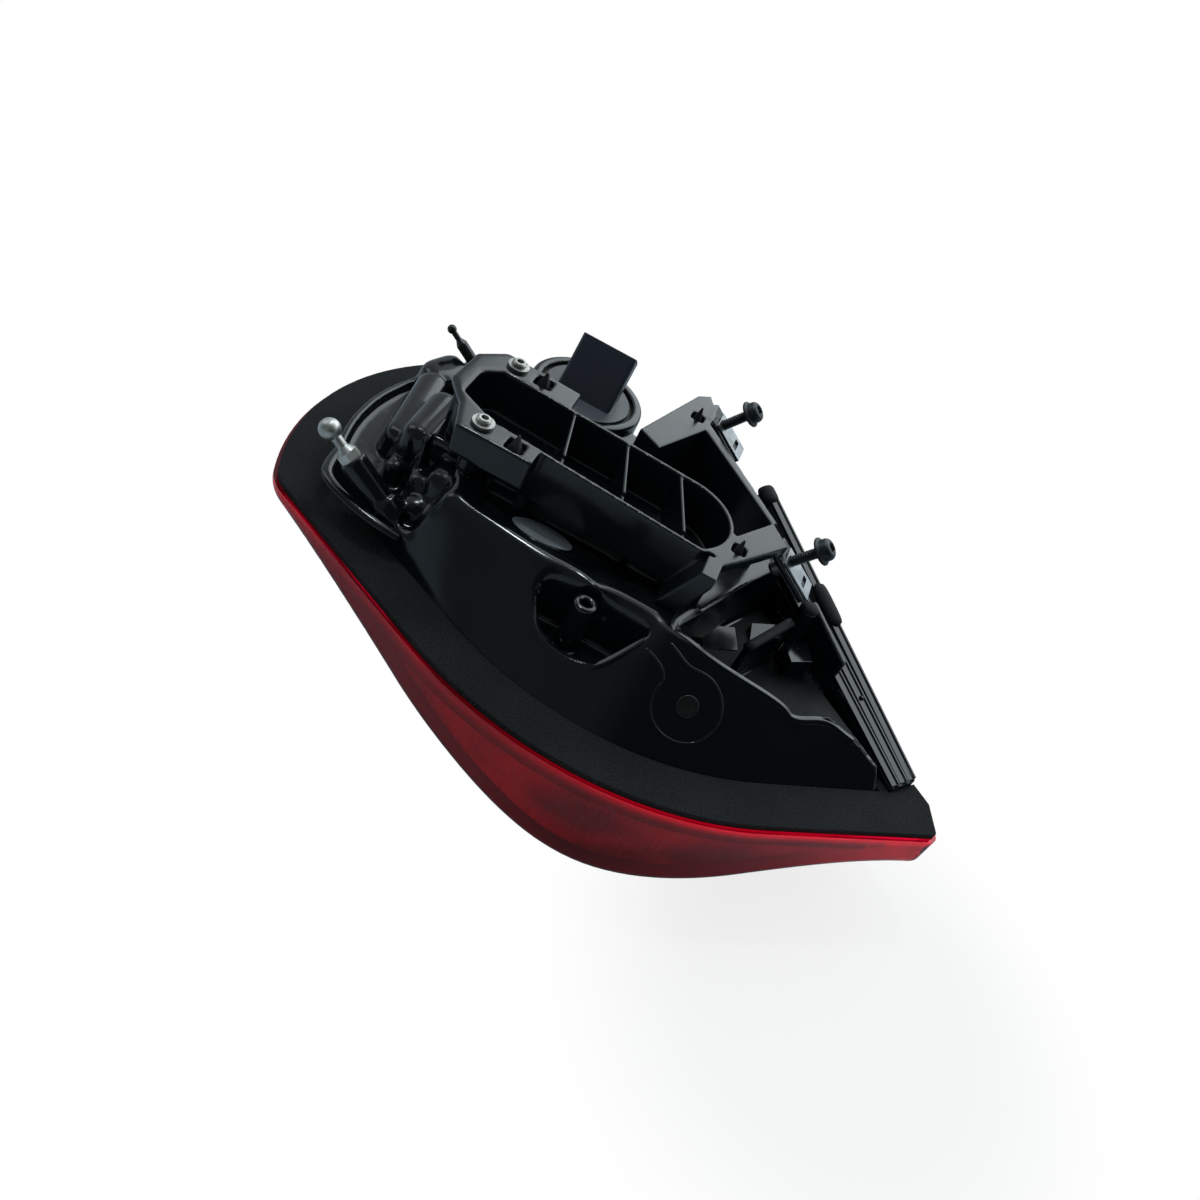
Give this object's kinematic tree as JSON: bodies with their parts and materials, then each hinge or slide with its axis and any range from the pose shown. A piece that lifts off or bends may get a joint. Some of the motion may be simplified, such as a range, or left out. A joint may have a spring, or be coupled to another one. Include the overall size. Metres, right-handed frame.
{
  "type": "tail light cluster",
  "caption": "Car tail lamp seen from its body side: red lens under a foam seal and a black moulded housing with a celled module tray, ball stud, locating pin, fixing bolts and plug socket.",
  "frame": {"origin": "on the top face of the foam seal, at the middle of the near band, where the lamp meets the car body", "axes": "+Z out of the body side, the lens faces -Z; +X along the lamp towards its pointed end; +Y across the lamp away from the curved near edge"},
  "size_m": [0.3545, 0.2434, 0.1353],
  "materials": {
    "housing_black": "glossy moulded",
    "seal_foam": "matte closed-cell foam",
    "lens_red": "polished tinted",
    "optic_red": "fluted tinted",
    "bezel_dark": "satin",
    "reflector": "bright metallised",
    "guide_clear": "clear polished",
    "board_green": "solder mask",
    "led_white": "satin",
    "sink_aluminium": "extruded",
    "header_plastic": "moulded",
    "ribbon_film": "satin film",
    "tray_black": "glossy moulded",
    "screw_zinc": "zinc plated",
    "stop_rubber": "matte",
    "bolt_steel": "black coated",
    "clip_steel": "bright sheet",
    "stud_steel": "turned and plated",
    "pin_plastic": "moulded",
    "connector_plastic": "moulded",
    "terminal_tin": "tin plated",
    "vent_grey": "matte membrane"
  },
  "bodies": {
    "root": {"housing": "housing_black", "foam_seal": "seal_foam", "outer_lens": "lens_red", "fluted_optic": "optic_red", "bezel": "bezel_dark", "reflector_cups": "reflector", "light_guide": "guide_clear", "led_board": "board_green", "led_packages": "led_white", "heat_sink": "sink_aluminium", "board_header": "header_plastic", "ribbon": "ribbon_film", "module_tray": "tray_black", "tray_screws": "screw_zinc", "rubber_stops": "stop_rubber", "far_bolt": "bolt_steel", "near_bolt": "bolt_steel", "far_clip_nut": "clip_steel", "near_clip_nut": "clip_steel", "ball_stud": "stud_steel", "edge_screw": "screw_zinc", "locating_pin": "pin_plastic", "connector": "connector_plastic", "connector_seal": "stop_rubber", "terminals": "terminal_tin", "vent_membrane": "vent_grey"}
  },
  "joints": []
}
